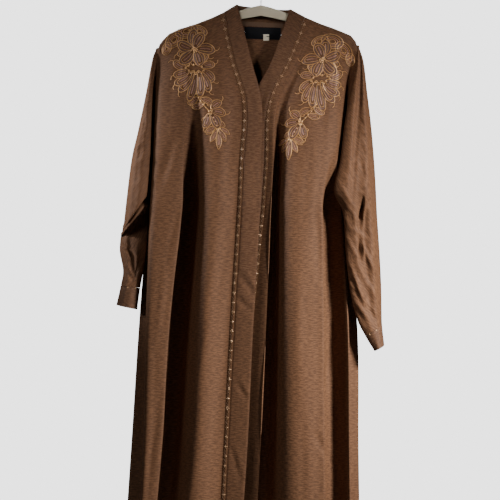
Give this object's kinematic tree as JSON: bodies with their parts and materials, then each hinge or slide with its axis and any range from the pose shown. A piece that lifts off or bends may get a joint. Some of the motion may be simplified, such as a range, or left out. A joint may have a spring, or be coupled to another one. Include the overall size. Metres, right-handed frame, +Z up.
{
  "type": "abaya on a hanger",
  "caption": "Long open-front abaya of brown crepe with lapped edge bands, batwing sleeves and cuffs, hung on a curved hanger with a wire hook",
  "frame": {"origin": "where the hanger's hook bears on its rail", "axes": "+Z up, -Y out of the front of the garment, +X to the viewer's right"},
  "size_m": [0.608, 0.149, 1.5035],
  "materials": {
    "crepe": "satin",
    "dark_crepe": "satin",
    "trim": "satin",
    "tape": "satin",
    "label": "matte",
    "size_tab": "matte",
    "wood": "satin",
    "steel": "polished"
  },
  "bodies": {
    "root": {"front_over": "crepe", "front_under": "crepe", "back": "crepe", "sleeve_left": "crepe", "sleeve_right": "crepe", "cuff_left": "dark_crepe", "cuff_right": "dark_crepe", "band_over": "crepe", "band_under": "crepe", "band_back": "crepe", "trim_over": "trim", "trim_under": "trim", "neck_tape": "tape", "label": "label", "size_tab": "size_tab", "hanger": "wood", "hanger_hook": "steel"}
  },
  "joints": []
}
